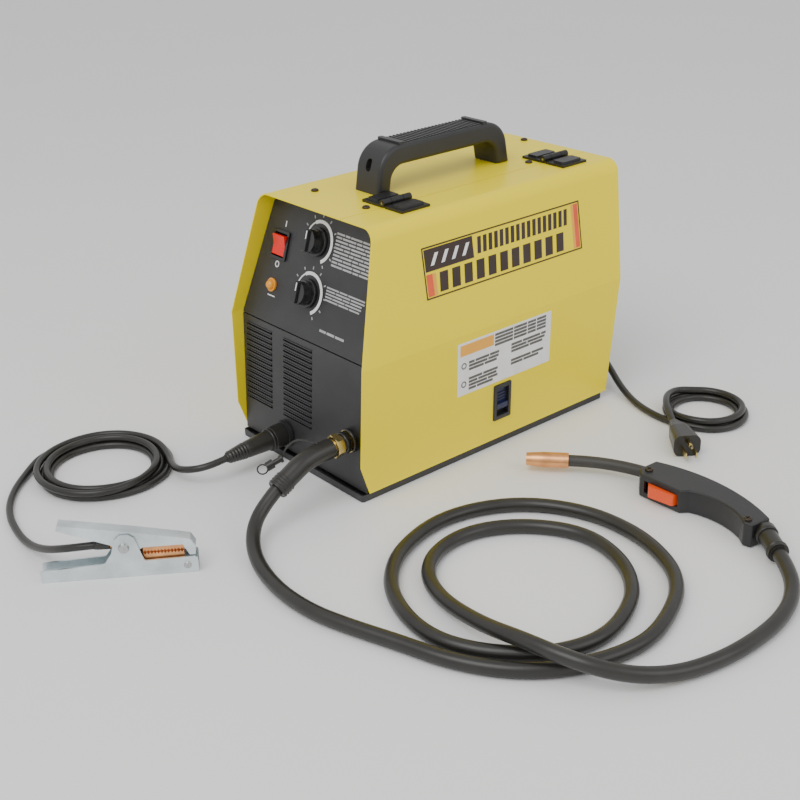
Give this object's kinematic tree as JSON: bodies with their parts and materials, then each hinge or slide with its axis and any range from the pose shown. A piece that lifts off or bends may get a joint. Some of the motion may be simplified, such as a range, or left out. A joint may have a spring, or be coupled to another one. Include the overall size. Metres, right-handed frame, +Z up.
{
  "type": "wire-feed welder",
  "caption": "Portable wire-feed welding machine: sheet-metal case with carry handle and hinged side door, gun lead, ground clamp lead and mains cord laid on the floor.",
  "frame": {"origin": "middle of the base's underside, on the floor", "axes": "+Z up, -Y towards the front panel, +X towards the side door"},
  "size_m": [0.8432, 0.872, 0.3705],
  "materials": {
    "yellow_paint": "satin powder coat",
    "black_paint": "satin black paint",
    "black_hinge": "black paint",
    "black_plastic": "matt black",
    "blue_plastic": "matt dark blue",
    "switch_black": "gloss black",
    "switch_red": "gloss red",
    "lamp_amber": "translucent amber",
    "trigger_orange": "gloss orange",
    "steel": "zinc plated",
    "zinc": "bright zinc plate",
    "brass": "machined",
    "copper": "bare copper",
    "black_rubber": "satin black",
    "neck_coat": "black insulated",
    "core_iron": "varnished laminations",
    "aluminium": "bare",
    "motor_grey": "grey enamel",
    "board_green": "solder mask"
  },
  "bodies": {
    "welder": {"base_tray": "black_paint", "clamp_lower_arm": "zinc", "clamp_pin": "steel", "clamp_spring": "steel", "contact_tip": "copper", "control_board": "board_green", "control_panel": "black_paint", "cover": "yellow_paint", "divider_panel": "black_paint", "dust_cap": "black_rubber", "fan_frame": "black_plastic", "feed_motor": "motor_grey", "ground_coil": "black_rubber", "ground_lead": "black_rubber", "ground_plug": "black_rubber", "ground_socket": "black_plastic", "ground_tail": "black_rubber", "handle": "black_plastic", "hinge_fixed_leaves": "black_hinge", "hinge_pins": "steel", "lamp": "lamp_amber", "lower_contact": "copper", "lower_front_panel": "black_paint", "mains_coil": "black_rubber", "mains_cord": "black_rubber", "mains_gland": "black_plastic", "mains_plug": "black_rubber", "mains_tail": "black_rubber", "rear_panel": "black_paint", "rectifier": "aluminium", "screws": "steel", "spool_spindle": "black_plastic", "switch_housing": "switch_black", "torch_boot": "black_rubber", "torch_handle_lower": "black_plastic", "torch_handle_upper": "black_plastic", "torch_lead": "black_rubber", "torch_neck": "neck_coat", "torch_nozzle": "copper", "torch_sleeve": "black_rubber", "torch_socket": "brass", "transformer_core": "core_iron", "windings": "copper"},
    "side_door": {"side_door": "yellow_paint", "hinge_moving_leaves": "black_hinge", "latch_frame": "black_plastic"},
    "door_latch": {"latch_slider": "blue_plastic"},
    "power_rocker": {"switch_rocker": "switch_red"},
    "upper_knob": {"upper_knob": "black_plastic"},
    "lower_knob": {"lower_knob": "black_plastic"},
    "drive_roll": {"drive_roll": "steel"},
    "pressure_arm": {"pressure_arm": "aluminium"},
    "pressure_roll": {"pressure_roll": "steel"},
    "tension_knob": {"tension_knob": "black_plastic"},
    "wire_spool": {"wire_spool": "black_plastic", "welding_wire": "steel"},
    "fan_rotor": {"fan_blade": "black_plastic"},
    "torch_trigger": {"torch_trigger": "trigger_orange"},
    "clamp_upper_arm": {"clamp_upper_arm": "zinc", "upper_contact": "copper"}
  },
  "joints": [
    {"name": "door_hinge", "type": "hinge", "parent": "welder", "child": "side_door", "pos_m": [0.05, 0.04, 0.3188], "axis": [0, -1, 0], "range_deg": [0, 100]},
    {"name": "latch_slide", "type": "slide", "parent": "side_door", "child": "door_latch", "axis": [-0.032, 0, -0.9995], "range_m": [0, 0.008]},
    {"name": "rocker_tip", "type": "hinge", "parent": "welder", "child": "power_rocker", "pos_m": [-0.077, -0.16444, 0.25317], "axis": [-1, 0, 0], "range_deg": [0, 20]},
    {"name": "upper_knob_turn", "type": "hinge", "parent": "welder", "child": "upper_knob", "pos_m": [-0.0085, -0.15849, 0.27122], "axis": [0, -0.9497, 0.3131], "range_deg": [-150, 150]},
    {"name": "lower_knob_turn", "type": "hinge", "parent": "welder", "child": "lower_knob", "pos_m": [-0.0085, -0.17759, 0.21328], "axis": [0, -0.9497, 0.3131], "range_deg": [-150, 150]},
    {"name": "drive_roll_spin", "type": "hinge", "parent": "welder", "child": "drive_roll", "pos_m": [0.0915, -0.12, 0.0544], "axis": [1, 0, 0], "continuous": true},
    {"name": "pressure_arm_lift", "type": "hinge", "parent": "welder", "child": "pressure_arm", "pos_m": [0.104, -0.152, 0.0874], "axis": [1, 0, 0], "range_deg": [0, 6]},
    {"name": "pressure_roll_spin", "type": "hinge", "parent": "pressure_arm", "child": "pressure_roll", "pos_m": [0.0916, -0.12, 0.0834], "axis": [1, 0, 0], "continuous": true},
    {"name": "tension_screw_turn", "type": "hinge", "parent": "welder", "child": "tension_knob", "pos_m": [0.104, -0.09, 0.08], "axis": [0, 0, 1], "range_deg": [-360, 360]},
    {"name": "spool_spin", "type": "hinge", "parent": "welder", "child": "wire_spool", "pos_m": [0.0805, 0.075, 0.15], "axis": [1, 0, 0], "continuous": true},
    {"name": "fan_spin", "type": "hinge", "parent": "welder", "child": "fan_rotor", "pos_m": [-0.048, 0.1685, 0.118], "axis": [0, 1, 0], "continuous": true},
    {"name": "trigger_squeeze", "type": "hinge", "parent": "welder", "child": "torch_trigger", "pos_m": [0.33838, 0.03768, 0.015], "axis": [0, 0, 1], "range_deg": [0, 5], "stiffness_Nm_per_rad": 0.4, "springref_deg": -5.73},
    {"name": "clamp_open", "type": "hinge", "parent": "welder", "child": "clamp_upper_arm", "pos_m": [0.06199, -0.4845, 0.035], "axis": [0.8211, -0.5707, 0], "range_deg": [0, 12], "stiffness_Nm_per_rad": 4, "springref_deg": -14.32}
  ],
  "couplings": [
    {"joint": "pressure_roll_spin", "follows": "drive_roll_spin", "ratio": -1.1538}
  ]
}
